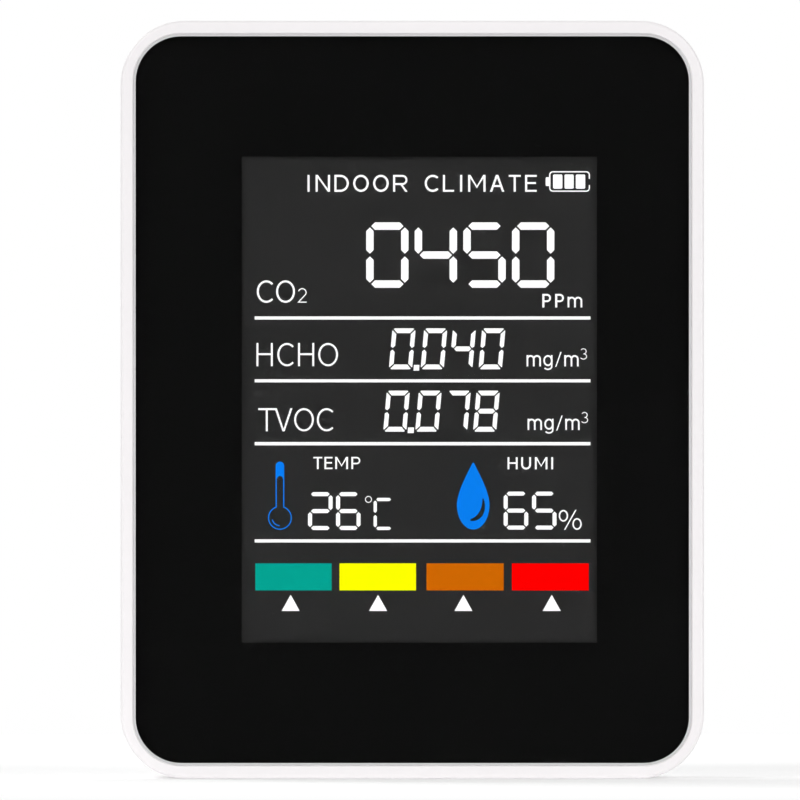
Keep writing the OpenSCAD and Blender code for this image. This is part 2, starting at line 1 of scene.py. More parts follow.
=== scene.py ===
import json
import math
import bmesh
import bpy
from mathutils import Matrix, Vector


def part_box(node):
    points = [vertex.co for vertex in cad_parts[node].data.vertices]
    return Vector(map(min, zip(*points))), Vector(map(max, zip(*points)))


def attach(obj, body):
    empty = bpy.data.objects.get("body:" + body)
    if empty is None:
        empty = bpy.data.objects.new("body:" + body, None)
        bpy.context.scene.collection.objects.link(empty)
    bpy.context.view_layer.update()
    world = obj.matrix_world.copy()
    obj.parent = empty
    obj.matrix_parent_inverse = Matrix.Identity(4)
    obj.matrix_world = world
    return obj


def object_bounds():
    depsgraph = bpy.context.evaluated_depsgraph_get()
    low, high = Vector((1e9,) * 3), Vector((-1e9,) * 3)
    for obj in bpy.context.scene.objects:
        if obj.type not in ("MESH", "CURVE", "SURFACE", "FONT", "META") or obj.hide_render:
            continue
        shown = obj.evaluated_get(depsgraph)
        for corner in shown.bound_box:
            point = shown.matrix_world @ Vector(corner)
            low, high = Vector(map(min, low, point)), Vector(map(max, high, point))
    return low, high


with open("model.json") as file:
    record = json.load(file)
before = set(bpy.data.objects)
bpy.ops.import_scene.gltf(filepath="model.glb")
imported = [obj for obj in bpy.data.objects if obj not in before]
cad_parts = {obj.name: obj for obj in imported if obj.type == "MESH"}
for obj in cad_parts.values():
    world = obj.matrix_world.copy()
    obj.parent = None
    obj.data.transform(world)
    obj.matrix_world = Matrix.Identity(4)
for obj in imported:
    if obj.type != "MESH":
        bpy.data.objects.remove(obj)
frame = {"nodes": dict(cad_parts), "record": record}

cad_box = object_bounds()
nodes = frame["nodes"]
scene = bpy.context.scene
MM = 0.001

# ---------------------------------------------------------------- camera
lo, hi = cad_box
front_y = lo.y
centre_z = (lo.z + hi.z) / 2
DIST = 4.0
FRAME_W = 95.03 * MM            # width of the view at the front rim
cam_data = bpy.data.cameras.new("camera")
cam = bpy.data.objects.new("camera", cam_data)
scene.collection.objects.link(cam)
cam_data.type = "PERSP"
cam_data.sensor_width = 36.0
cam_data.lens = 36.0 * DIST / FRAME_W
cam_data.clip_start, cam_data.clip_end = 0.01, 30
cam.location = (-1.46 * MM, front_y - DIST, centre_z - 0.04 * MM)
cam.rotation_euler = (math.radians(90), 0, 0)
scene.camera = cam
scene.view_settings.view_transform = "Standard"
scene.view_settings.look = "None"


# ---------------------------------------------------------------- materials
def lin(r, g, b):
    f = lambda c: c / 12.92 if c <= 0.04045 else ((c + 0.055) / 1.055) ** 2.4
    return tuple(f(c / 255) for c in (r, g, b)) + (1.0,)


def shade(c, k):
    return tuple(min(1.0, v * k) for v in c[:3]) + (1.0,)


class Nodes:
    """A small helper round one material's node tree."""

    def __init__(self, name):
        self.mat = bpy.data.materials.new(name)
        self.mat.use_nodes = True
        self.t = self.mat.node_tree
        self.p = self.t.nodes["Principled BSDF"]
        self.coord = self.new("ShaderNodeTexCoord")

    def new(self, kind, **props):
        n = self.t.nodes.new(kind)
        for k, v in props.items():
            setattr(n, k, v)
        return n

    def link(self, a, b):
        self.t.links.new(a, b)

    def noise(self, scale, detail=2.0, rough=0.5, stretch=None):
        n = self.new("ShaderNodeTexNoise")
        n.inputs["Scale"].default_value = scale
        n.inputs["Detail"].default_value = detail
        n.inputs["Roughness"].default_value = rough
        out = self.coord.outputs["Object"]
        if stretch:
            m = self.new("ShaderNodeMapping")
            m.inputs["Scale"].default_value = stretch
            self.link(out, m.inputs["Vector"])
            out = m.outputs["Vector"]
        self.link(out, n.inputs["Vector"])
        return n.outputs["Fac"]

    def ramp(self, fac, a, b, lo=0.35, hi=0.65):
        r = self.new("ShaderNodeValToRGB")
        r.color_ramp.elements[0].position = lo
        r.color_ramp.elements[0].color = a
        r.color_ramp.elements[1].position = hi
        r.color_ramp.elements[1].color = b
        self.link(fac, r.inputs["Fac"])
        return r.outputs["Color"]

    def span(self, fac, a, b, lo=0.3, hi=0.7):
        m = self.new("ShaderNodeMapRange")
        m.inputs["From Min"].default_value = lo
        m.inputs["From Max"].default_value = hi
        m.inputs["To Min"].default_value = a
        m.inputs["To Max"].default_value = b
        self.link(fac, m.inputs["Value"])
        return m.outputs["Result"]

    def mix(self, fac, a, b, kind="MIX"):
        m = self.new("ShaderNodeMix", data_type="RGBA", blend_type=kind)
        if isinstance(fac, float):
            m.inputs["Factor"].default_value = fac
        else:
            self.link(fac, m.inputs["Factor"])
        for i, v in ((6, a), (7, b)):
            if isinstance(v, tuple):
                m.inputs[i].default_value = v
            else:
                self.link(v, m.inputs[i])
        return m.outputs[2]

    def bump(self, height, strength, distance, after=None):
        b = self.new("ShaderNodeBump")
        b.inputs["Strength"].default_value = strength
        b.inputs["Distance"].default_value = distance
        self.link(height, b.inputs["Height"])
        if after is not None:
            self.link(after, b.inputs["Normal"])
        return b.outputs["Normal"]

    def set(self, **kw):
        for k, v in kw.items():
            s = self.p.inputs[k.replace("_", " ")]
            if isinstance(v, (int, float, tuple)):
                s.default_value = v
            else:
                self.link(v, s)
        return self.mat


def moulded(name, colour, rough=0.42, grain=5200, bump=0.12, var=0.02, metallic=0.0, specular=0.5, depth=0.02):
    """Moulded plastic or plain metal: fine spark-eroded grain, faint tone drift and uneven gloss."""
    n = Nodes(name)
    fine = n.noise(grain, 3.0, 0.6)
    broad = n.noise(55, 2.0)
    col = n.ramp(broad, shade(colour, 1 - var), shade(colour, 1 + var))
    col = n.mix(n.span(fine, 0.0, 0.35), col, shade(colour, 1 - 2.5 * var))
    n.set(Base_Color=col, Roughness=n.span(n.noise(grain * 0.4, 2.0), rough - 0.05, rough + 0.06),
          Normal=n.bump(fine, bump, depth * MM), Metallic=metallic, Specular_IOR_Level=specular)
    return n.mat


def machined(name, colour, rough=0.28):
    """Plated or drawn metal: fine lines and soft cloudy gloss."""
    n = Nodes(name)
    lines = n.noise(900, 2.0, 0.5, (1.0, 1.0, 14.0))
    col = n.ramp(lines, shade(colour, 0.9), shade(colour, 1.06))
    n.set(Base_Color=col, Metallic=1.0, Roughness=n.span(n.noise(420, 3.0), rough - 0.08, rough + 0.1),
          Normal=n.bump(lines, 0.15, 0.01 * MM))
    return n.mat


def pcb(name):
    """Green solder mask over copper tracks."""
    n = Nodes(name)
    m = n.new("ShaderNodeMapping")
    m.inputs["Rotation"].default_value = (math.radians(90), 0, 0)
    n.link(n.coord.outputs["Object"], m.inputs["Vector"])
    b = n.new("ShaderNodeTexBrick")
    b.inputs["Scale"].default_value = 260
    b.inputs["Mortar Size"].default_value = 0.06
    b.inputs["Color1"].default_value = (1, 1, 1, 1)
    b.inputs["Color2"].default_value = (0.8, 0.8, 0.8, 1)
    b.inputs["Mortar"].default_value = (0, 0, 0, 1)
    n.link(m.outputs["Vector"], b.inputs["Vector"])
    col = n.mix(b.outputs["Color"], (0.02, 0.16, 0.06, 1), (0.008, 0.075, 0.03, 1))
    n.set(Base_Color=col, Roughness=n.span(n.noise(600), 0.25, 0.4), Normal=n.bump(b.outputs["Fac"], 0.3, 0.03 * MM))
    return n.mat


def woven(name, colour, pitch=0.45):
    """Plain-weave dust mesh. Its colour follows the weave's height: painted shade in the dips and a painted highlight
    on the crowns.
    """
    n = Nodes(name)
    waves = []
    for axis in ("Y", "Z"):
        w = n.new("ShaderNodeTexWave", wave_type="BANDS", bands_direction=axis, wave_profile="SIN")
        w.inputs["Scale"].default_value = math.pi / (pitch * MM) / 10
        n.link(n.coord.outputs["Object"], w.inputs["Vector"])
        waves.append(w.outputs["Fac"])
    h = n.new("ShaderNodeMath", operation="MAXIMUM")
    n.link(waves[0], h.inputs[0])
    n.link(waves[1], h.inputs[1])
    # painted shade and highlight: dark in the dips of the weave, light on the crowns of the threads
    col = n.ramp(h.outputs[0], shade(colour, 0.25), shade(colour, 1.3), 0.3, 0.95)
    n.set(Base_Color=col, Roughness=n.span(n.noise(3000), 0.7, 0.9), Normal=n.bump(h.outputs[0], 0.8, 0.06 * MM))
    return n.mat


def porous(name, colour, scale=2600):
    """Pressed fibre or foam. Its colour is darker in the pits of the cells, painted shade."""
    n = Nodes(name)
    v = n.new("ShaderNodeTexVoronoi")
    v.inputs["Scale"].default_value = scale
    n.link(n.coord.outputs["Object"], v.inputs["Vector"])
    # painted shade: darker where the cell pattern dips into pits
    col = n.ramp(v.outputs["Distance"], shade(colour, 0.6), shade(colour, 1.1), 0.0, 0.5)
    n.set(Base_Color=col, Roughness=n.span(n.noise(scale), 0.8, 0.95), Normal=n.bump(v.outputs["Distance"], 0.5, 0.05 * MM))
    return n.mat


def clear(name, colour, rough_lo, rough_hi, ior, specular=0.5):
    """Clear plate: transmission stays a plain value."""
    n = Nodes(name)
    n.set(Base_Color=n.ramp(n.noise(30), shade(colour, 0.992), shade(colour, 1.0)),
          Roughness=n.span(n.noise(900), rough_lo, rough_hi), IOR=ior, Transmission_Weight=1.0,
          Specular_IOR_Level=specular)
    return n.mat


def glowing(name, colour, strength):
    """A lit display segment."""
    n = Nodes(name)
    n.set(Base_Color=n.ramp(n.noise(1500), shade(colour, 0.18), shade(colour, 0.22)), Roughness=n.span(n.noise(900), 0.5, 0.6),
          Specular_IOR_Level=0.0)
    n.p.inputs["Emission Color"].default_value = colour
    n.p.inputs["Emission Strength"].default_value = strength
    return n.mat


WHITE = (0.875, 0.850, 0.860, 1.0)
MATS = {
    "white_abs": moulded("white_abs", WHITE, rough=0.40, bump=0.10, var=0.008),
    "button_plastic": moulded("button_plastic", (0.72, 0.71, 0.72, 1), rough=0.34, bump=0.06, var=0.01),
    "lens_clear": clear("lens_clear", (0.975, 0.975, 0.975, 1), 0.012, 0.020, 1.25, 0.14),
    "black_ink": moulded("black_ink", (0.0070, 0.0070, 0.0070, 1), rough=0.55, bump=0.02, var=0.04, specular=0.0),
    "foam_tape": porous("foam_tape", (0.05, 0.05, 0.05, 1)),
    "black_foam": porous("black_foam", (0.012, 0.012, 0.012, 1)),
    "polarizer_film": moulded("polarizer_film", (0.036, 0.036, 0.036, 1), rough=0.5, grain=2500, bump=0.03, var=0.02, specular=0.0),
    "display_glass": clear("display_glass", (0.9, 0.93, 0.92, 1), 0.0, 0.02, 1.5),
    "white_film": moulded("white_film", (0.86, 0.86, 0.86, 1), rough=0.6, bump=0.05),
    "clear_acrylic": clear("clear_acrylic", (0.95, 0.97, 0.98, 1), 0.05, 0.1, 1.49),
    "led_package": moulded("led_package", (0.85, 0.7, 0.18, 1), rough=0.3),
    "white_polycarbonate": moulded("white_polycarbonate", (0.82, 0.82, 0.8, 1), rough=0.35),
    "flex_film": moulded("flex_film", (0.45, 0.16, 0.02, 1), rough=0.3, bump=0.03, var=0.05),
    "black_nylon": moulded("black_nylon", (0.016, 0.016, 0.017, 1), rough=0.45, var=0.06),
    "circuit_board": pcb("circuit_board"),
    "plated_steel": machined("plated_steel", (0.62, 0.62, 0.63, 1)),
    "chip_epoxy": moulded("chip_epoxy", (0.012, 0.012, 0.013, 1), rough=0.5, grain=7000, bump=0.2, var=0.08),
    "ferrite": moulded("ferrite", (0.05, 0.05, 0.055, 1), rough=0.6, grain=3500, bump=0.2, var=0.08),
    "capacitor_ceramic": moulded("capacitor_ceramic", (0.42, 0.28, 0.14, 1), rough=0.4, var=0.05),
    "pouch_foil": machined("pouch_foil", (0.72, 0.73, 0.74, 1), rough=0.38),
    "red_pvc": moulded("red_pvc", (0.5, 0.01, 0.01, 1), rough=0.35),
    "black_pvc": moulded("black_pvc", (0.012, 0.012, 0.012, 1), rough=0.35),
    "white_nylon": moulded("white_nylon", (0.78, 0.76, 0.7, 1), rough=0.45),
    "gold_plate": machined("gold_plate", (0.85, 0.58, 0.22, 1), rough=0.25),
    "filter_membrane": porous("filter_membrane", (0.8, 0.8, 0.78, 1), 3200),
    "woven_mesh": woven("woven_mesh", (0.07, 0.07, 0.072, 1)),
}
slot_of = {s["node"]: s["material_slot"] for s in frame["record"]["subparts"]}
# the back half and the stand have a slightly coarser moulded grain than the front rim
textured = moulded("white_abs_textured", WHITE, rough=0.46, grain=3000, bump=0.22, var=0.010, depth=0.03)
for name, obj in nodes.items():
    m = textured if name in ("rear_cover", "kickstand") else MATS[slot_of[name]]
    obj.data.materials.clear()
    obj.data.materials.append(m)


# ---------------------------------------------------------------- display picture
# Laid out in millimetres: u to the right of the window's left edge and v down
# from its top edge. The window is centred on the polariser across and on the
# case upwards.
WIN_W, WIN_H = 42.2, 57.74
pol_lo, pol_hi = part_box("front_polarizer")
win_cx = (pol_lo.x + pol_hi.x) / 2
plane_y = pol_lo.y
THICK = 0.03 * MM


def place(u, v):
    return win_cx + (u - WIN_W / 2) * MM, centre_z + (WIN_H / 2 - v) * MM


class Plate:
    """Collects flat shapes and makes one thin mesh of them."""

    def __init__(self, name, mat, lift=0.03):
        self.name, self.mat = name, mat
        self.y1 = plane_y - lift * MM
        self.y0 = self.y1 - THICK
        self.bm = bmesh.new()

    def polygon(self, pts):
        rings = []
        for y in (self.y0, self.y1):
            rings.append([self.bm.verts.new((x, y, z)) for x, z in (place(u, v) for u, v in pts)])
        n = len(pts)
        self.bm.faces.new(rings[0])
        self.bm.faces.new(list(reversed(rings[1])))
        for i in range(n):
            j = (i + 1) % n
            self.bm.faces.new((rings[0][j], rings[0][i], rings[1][i], rings[1][j]))

    def strip(self, left, right, closed):
        q = []
        for a, b in zip(left, right):
            v = []
            for (x, z) in (place(*a), place(*b)):
                for y in (self.y0, self.y1):
                    v.append(self.bm.verts.new((x, y, z)))
            q.append(v)                     # left front, left back, right front, right back
        n = len(q)
        for i in range(n if closed else n - 1):
            a, b = q[i], q[(i + 1) % n]
            self.bm.faces.new((a[0], b[0], b[2], a[2]))
            self.bm.faces.new((a[1], a[3], b[3], b[1]))
            self.bm.faces.new((a[0], a[1], b[1], b[0]))
            self.bm.faces.new((a[2], b[2], b[3], a[3]))
        if not closed:
            self.bm.faces.new((q[0][0], q[0][2], q[0][3], q[0][1]))
            self.bm.faces.new((q[-1][0], q[-1][1], q[-1][3], q[-1][2]))

    def line(self, pts, w, closed=False):
        """A stroke of width w along pts, with mitred corners."""
        n = len(pts)
        left, right = [], []
        for i, p in enumerate(pts):
            if closed:
                a, b = pts[i - 1], pts[(i + 1) % n]
            else:
                a, b = pts[max(i - 1, 0)], pts[min(i + 1, n - 1)]
            d0 = Vector((p[0] - a[0], p[1] - a[1]))
            d1 = Vector((b[0] - p[0], b[1] - p[1]))
            if d0.length < 1e-9:
                d0 = d1.copy()
            if d1.length < 1e-9:
                d1 = d0.copy()
            d0.normalize()
            d1.normalize()
            t = d0 + d1
            if t.length < 1e-6:
                t = d1.copy()
            t.normalize()
            normal = Vector((-t.y, t.x))
            cosine = max(0.35, normal.dot(Vector((-d1.y, d1.x))))
            k = w / 2 / cosine
            left.append((p[0] + normal.x * k, p[1] + normal.y * k))
            right.append((p[0] - normal.x * k, p[1] - normal.y * k))
        self.strip(left, right, closed)

    def make(self):
        bmesh.ops.recalc_face_normals(self.bm, faces=self.bm.faces)
        me = bpy.data.meshes.new(self.name)
        self.bm.to_mesh(me)
        self.bm.free()
        o = bpy.data.objects.new(self.name, me)
        scene.collection.objects.link(o)
        me.materials.append(self.mat)
        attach(o, "case")
        return o


def arc(cx, cy, rx, ry, a0, a1, n=28):
    """Points on an ellipse; 0 degrees is to the right and 90 is up."""
    out = []
    for i in range(n + 1):
        a = math.radians(a0 + (a1 - a0) * i / n)
        out.append((cx + rx * math.cos(a), cy - ry * math.sin(a)))
    return out


def ring(cx, cy, rx, ry, n=40):
    return arc(cx, cy, rx, ry, 0, 360, n)[:-1]


def bezier(p0, p1, p2, p3, n=16):
    out = []
    for i in range(n + 1):
        t = i / n
        k = ((1 - t) ** 3, 3 * t * (1 - t) ** 2, 3 * t * t * (1 - t), t ** 3)
        out.append(tuple(sum(w * p[c] for w, p in zip(k, (p0, p1, p2, p3))) for c in (0, 1)))
    return out


SEGMENTS = {"0": "abcdef", "2": "abged", "3": "abgcd", "4": "fgbc", "5": "afgcd", "6": "afgedc",
            "7": "abc", "8": "abcdefg", "C": "afed"}


def pointed_digit(plate, ch, u0, u1, v0, v1, w, gap):
    """A seven-segment figure of six-sided bars."""
    l, r, t, b = u0 + w / 2, u1 - w / 2, v0 + w / 2, v1 - w / 2
    m = (t + b) / 2
    h = w / 2

    def across(v):
        plate.polygon([(l + gap, v), (l + gap + h, v - h), (r - gap - h, v - h), (r - gap, v),
                       (r - gap - h, v + h), (l + gap + h, v + h)])

    def down(u, a, c):
        plate.polygon([(u, a + gap), (u + h, a + gap + h), (u + h, c - gap - h), (u, c - gap),
                       (u - h, c - gap - h), (u - h, a + gap + h)])

    for s in SEGMENTS[ch]:
        if s == "a": across(t)
        if s == "g": across(m)
        if s == "d": across(b)
        if s == "f": down(l, t, m)
        if s == "e": down(l, m, b)
        if s == "b": down(r, t, m)
        if s == "c": down(r, m, b)


def mitred_digit(plate, ch, u0, u1, v0, v1, wv, wh, gap, slant):
    """A slanted seven-segment figure whose bars meet in mitres. u0 and u1 hold at its mid height."""
    m = (v0 + v1) / 2
    c = 0.34 * wv                       # cut outer corners
    g = gap / 2
    hw = wh / 2

    def put(pts):
        plate.polygon([(u + (m - v) * slant, v) for u, v in pts])

    def cap(v_out, s):                  # a or d; s is 1 for the top
        v_in = v_out + s * wh
        put([(u0 + c + g, v_out), (u1 - c - g, v_out), (u1 - c * 0.45 - g, v_out + s * c * 0.5),
             (u1 - wv - g, v_in), (u0 + wv + g, v_in), (u0 + c * 0.45 + g, v_out + s * c * 0.5)])

    def side(u_out, s, v_out, t):       # s is 1 on the left, t is 1 in the upper half
        u_in = u_out + s * wv
        put([(u_out, v_out + t * (c + g)), (u_out + s * c * 0.45, v_out + t * (c * 0.5 + g * 1.6)),
             (u_in, v_out + t * (wh + g)), (u_in, m - t * (hw + g)), (u_out + s * wv * 0.5, m - t * g),
             (u_out, m - t * (g + hw * 0.6))])

    for s in SEGMENTS[ch]:
        if s == "a": cap(v0, 1)
        if s == "d": cap(v1, -1)
        if s == "g":
            put([(u0 + wv * 0.5 + g, m), (u0 + wv + g, m - hw), (u1 - wv - g, m - hw), (u1 - wv * 0.5 - g, m),
                 (u1 - wv - g, m + hw), (u0 + wv + g, m + hw)])
        if s == "f": side(u0, 1, v0, 1)
        if s == "e": side(u0, 1, v1, -1)
        if s == "b": side(u1, -1, v0, 1)
        if s == "c": side(u1, -1, v1, -1)


def letter(plate, ch, u0, u1, v0, v1, w, wt=None):
    """One plain letter in strokes of width w, inside the box u0..u1, v0..v1 (wt is the width of its level strokes)."""
    wt = wt or w
    a, b, t, m = u0 + w / 2, u1 - w / 2, v0 + wt / 2, v1 - wt / 2
    cx, cy = (u0 + u1) / 2, (v0 + v1) / 2
    W, H = b - a, m - t
    P = lambda x, y: (a + W * x, t + H * y)
    L = lambda *pts, closed=False: plate.line(list(pts), w, closed)
    T = lambda *pts: plate.line(list(pts), wt)
    if ch in "CG":
        plate.line(arc(cx + W * 0.10, cy, W * 0.60, H / 2, 46, 314, 44), w)
    elif ch == "O":
        plate.line(ring(cx, cy, W / 2, H / 2, 56), w, True)
    elif ch == "H":
        L((a, v0), (a, v1)); L((b, v0), (b, v1)); T((a, cy - H * 0.02), (b, cy - H * 0.02))
    elif ch == "T":
        T((u0, t), (u1, t)); L((cx, v0), (cx, v1))
    elif ch == "L":
        L((a, v0), (a, v1)); T((a, m), (u1, m))
    elif ch == "I":
        L((cx, v0), (cx, v1))
    elif ch == "E":
        L((a, v0), (a, v1)); T((a, t), (u1, t)); T((a, m), (u1, m)); T((a, cy - H * 0.02), (u1 - W * 0.08, cy - H * 0.02))
    elif ch == "V":
        k = w * 0.55
        plate.polygon([(u0, v0), (u0 + 2 * k, v0), (cx, v1 - w * 1.35), (u1 - 2 * k, v0), (u1, v0), (cx + k, v1), (cx - k, v1)])
    elif ch == "A":
        k = w * 0.55
        plate.polygon([(u0, v1), (u0 + 2 * k, v1), (cx, v0 + w * 1.35), (u1 - 2 * k, v1), (u1, v1), (cx + k, v0), (cx - k, v0)])
        T((a + W * 0.17, t + H * 0.68), (b - W * 0.17, t + H * 0.68))
    elif ch == "N":
        L((a, v0), (a, v1)); L((b, v0), (b, v1))
        plate.polygon([(a - w / 2, v0), (a + w * 0.55, v0), (b + w / 2, v1), (b - w * 0.55, v1)])
    elif ch == "M":
        L((a, v0), (a, v1)); L((b, v0), (b, v1))
        k = w * 0.5
        for s, e in ((a, -1), (b, 1)):
            x = s + e * k
            plate.polygon([(x, v0), (s - e * w * 0.55, v0), (cx + e * k * 0.4, t + H * 0.62), (cx - e * k * 0.5, t + H * 0.78), (cx - e * k * 0.1, t + H * 0.84)])
    elif ch in "PR":
        L((a, v0), (a, v1))
        r = H * 0.275
        bow = [(a, t)] + arc(b - r, t + r, r, r, 90, -90, 18) + [(a, t + 2 * r)]
        plate.line(bow, wt if wt < w else w)
        if ch == "R":
            plate.polygon([(cx - w * 0.2, t + 2 * r), (cx + w * 0.85, t + 2 * r), (u1 + w * 0.05, v1), (u1 - w * 1.1, v1)])
    elif ch == "D":
        L((a, v0), (a, v1))
        r = H / 2
        k = min(r, W * 0.85)
        plate.line([(a, t)] + arc(b - k, cy, k, r, 90, -90, 30) + [(a, m)], w)
    elif ch == "U":
        r = W / 2
        plate.line([(a, v0)] + arc(cx, m - r, r, r, 180, 360, 24) + [(b, v0)], w)
    elif ch == "m":
        r = W / 4
        L((a, v0), (a, v1))
        for k in (0, 1):
            x0 = a + k * 2 * r
            plate.line(arc(x0 + r, t + r, r, r, 180, 0, 16) + [(x0 + 2 * r, v1)], w)
    elif ch == "g":
        # v1 is the baseline; the tail hangs a third of the height below it
        plate.line(ring(cx, cy, W / 2, H / 2, 36), w, True)
        d = H * 0.32
        plate.line([(b, v0), (b, m + d * 0.35)] + arc(cx, m + d * 0.35, W / 2, d, 0, -150, 16), w * 0.92)
    elif ch == "2":
        r = W / 2
        plate.line(arc(cx, t + r, r, r, 160, -28, 20) + [(a + W * 0.02, m), (u1, m)], w)
    elif ch == "3":
        r = H / 4
        plate.line(arc(cx - W * 0.04, t + r, W * 0.46, r, 150, -90, 22), w)
        plate.line(arc(cx - W * 0.04, m - r * 1.02, W * 0.54, r * 1.02, 90, -150, 24), w)
    elif ch == "/":
        k = w * 0.55
        plate.polygon([(u0, v1), (u0 + 2 * k, v1), (u1, v0), (u1 - 2 * k, v0)])
    elif ch == "%":
        rx, ry = W * 0.184, H * 0.278
        plate.line(ring(a + rx, t + ry, rx, ry, 30), w, True)
        plate.line(ring(b - rx, m - ry, rx, ry, 30), w, True)
        k = w * 0.5
        plate.polygon([(cx - W * 0.26 - k, v1), (cx - W * 0.26 + k, v1), (cx + W * 0.26 + k, v0), (cx + W * 0.26 - k, v0)])


def word(plate, chars, spans, v0, v1, w, wt=None):
    for ch, (u0, u1) in zip(chars, spans):
        letter(plate, ch, u0, u1, v0, v1, w, wt)


T_LENS = 0.915                     # sets the colour bars to the level seen through the lens
white = Plate("display_white", glowing("segment_white", (1, 1, 1, 1), 1.01))

# battery symbol
u0, u1, v0, v1, s = 36.53, 41.37, 1.72, 4.16, 0.145
r = 0.36
a0, a1, b0, b1 = u0 + s / 2, u1 - s / 2, v0 + s / 2, v1 - s / 2
path = ([(a1, 2.64)] + arc(a1 - r, b0 + r, r, r, 0, 90, 8) + arc(a0 + r, b0 + r, r, r, 90, 180, 8)
        + arc(a0 + r, b1 - r, r, r, 180, 270, 8) + arc(a1 - r, b1 - r, r, r, 270, 360, 8) + [(a1, 3.36)])
white.line(path, s)
white.polygon([(36.11, 2.52), (36.2, 2.43), (36.62, 2.43), (36.62, 3.48), (36.2, 3.48), (36.11, 3.39)])
for c0, c1 in ((36.99, 38.10), (38.35, 39.44), (39.69, 40.81)):
    k = 0.1
    white.polygon([(c0 + k, 2.11), (c1 - k, 2.11), (c1, 2.11 + k), (c1, 3.80 - k), (c1 - k, 3.80), (c0 + k, 3.80), (c0, 3.80 - k), (c0, 2.11 + k)])

# a plain heading
HEAD = "INDOOR CLIMATE"
pitch = {"I": 1.10, " ": 1.45, "M": 2.45, "O": 2.25, "C": 2.05, "L": 1.75, "E": 1.80, "T": 1.85}
x = 7.59
width = sum(pitch.get(c, 2.12) for c in HEAD)
for ch in HEAD:
    step = pitch.get(ch, 2.12) * (27.95 / width)
    if ch != " ":
        letter(white, ch, x + 0.02, x + step - 0.50, 2.16, 4.16, 0.25, 0.225)
    x += step

# main figures
for ch, (p, q) in zip("0450", ((14.72, 19.87), (20.48, 25.63), (26.26, 31.42), (32.05, 37.20))):
    pointed_digit(white, ch, p + 0.06, q - 0.06, 7.80, 15.57, 0.88, 0.16)
word(white, "CO", ((1.78, 3.72), (4.07, 6.32)), 14.69, 17.36, 0.24)
letter(white, "2", 6.66, 7.70, 15.62, 17.34, 0.125)
word(white, "PP", ((35.71, 36.76), (37.24, 38.29)), 16.30, 17.91, 0.25, 0.215)
letter(white, "m", 38.72, 40.46, 16.64, 17.91, 0.205)

# rules
for p, q in ((18.91, 19.41), (26.38, 26.88), (33.84, 34.36), (45.40, 45.91)):
    white.polygon([(1.53, p + 0.065), (41.43, p + 0.065), (41.43, q - 0.065), (1.53, q - 0.065)])

# second and third rows
word(white, "HCHO", ((1.74, 3.68), (4.22, 6.18), (6.68, 8.60), (9.08, 11.43)), 22.13, 24.90, 0.23)
for ch, (p, q) in zip("0040", ((17.64, 20.50), (21.41, 24.26), (24.83, 27.66), (28.30, 31.17))):
    mitred_digit(white, ch, p + 0.05, q - 0.05, 20.39, 25.26, 0.51, 0.57, 0.21, 0.088)
white.polygon([(20.45, 24.74), (21.10, 24.74), (21.07, 25.42), (20.40, 25.42)])
word(white, "TVOC", ((1.95, 3.98), (3.90, 6.02), (6.22, 8.56), (8.92, 10.90)), 29.88, 32.63, 0.23)
for ch, (p, q) in zip("0078", ((16.97, 19.81), (20.77, 23.59), (24.22, 27.05), (27.64, 30.50))):
    mitred_digit(white, ch, p + 0.05, q - 0.05, 27.80, 32.67, 0.51, 0.57, 0.21, 0.088)
white.polygon([(19.75, 32.17), (20.46, 32.17), (20.43, 32.84), (19.70, 32.84)])
for dv, du in ((0.0, 0.0), (7.56, 0.12)):
    letter(white, "m", 33.84 + du, 35.55 + du, 23.57 + dv, 24.92 + dv, 0.20)
    letter(white, "g", 35.83 + du, 36.93 + du, 23.57 + dv, 24.88 + dv, 0.195)
    letter(white, "/", 37.23 + du, 38.01 + du, 23.19 + dv, 24.98 + dv, 0.135)
    letter(white, "m", 38.32 + du, 40.03 + du, 23.57 + dv, 24.92 + dv, 0.20)
    letter(white, "3", 40.22 + du, 41.03 + du, 22.77 + dv, 24.10 + dv, 0.105)

# temperature and humidity
word(white, "TEMP", ((8.50, 9.56), (9.82, 10.78), (11.10, 12.62), (13.02, 14.10)), 35.67, 37.12, 0.215, 0.18)
word(white, "HUMI", ((31.58, 32.78), (33.20, 34.37), (34.83, 36.32), (36.72, 37.05)), 35.70, 37.15, 0.22, 0.185)
for ch, (p, q) in zip("26", ((7.82, 10.84), (11.15, 14.16))):
    pointed_digit(white, ch, p + 0.05, q - 0.05, 39.86, 44.36, 0.475, 0.115)
white.line(ring(15.05, 40.72, 0.36, 0.36, 28), 0.095, True)
pointed_digit(white, "C", 15.66, 18.05, 40.54, 44.36, 0.385, 0.12)
for ch, (p, q) in zip("65", ((31.07, 34.09), (34.44, 37.45))):
    pointed_digit(white, ch, p + 0.05, q - 0.05, 39.80, 44.31, 0.475, 0.115)
letter(white, "%", 37.66, 40.40, 41.97, 44.34, 0.178)

# pointers under the four bars
for p, q, s in ((5.78, 4.63, 6.98), (16.14, 15.01, 17.37), (26.33, 25.17, 27.50), (36.82, 35.65, 38.01)):
    mid = (q + s) / 2
    white.polygon([(mid, 52.06), (s - 0.10, 53.98), (q + 0.10, 53.98)])
white.make()

BARS = (("display_green", (5, 162, 145), 1.56, 10.70), ("display_yellow", (253, 255, 1), 11.56, 20.72),
        ("display_orange", (205, 103, 3), 21.90, 31.14), ("display_red", (254, 0, 0), 32.05, 41.24))
for name, rgb, p, q in BARS:
    bar = Plate(name, glowing(name + "_glow", lin(*rgb), T_LENS))
    bar.polygon([(p + 0.05, 48.32), (q - 0.02, 48.32), (q - 0.02, 51.54), (p + 0.05, 51.54)])
    bar.make()

BLUE = lin(9, 128, 241)
blue = Plate("display_blue", glowing("display_blue_glow", BLUE, 0.88))
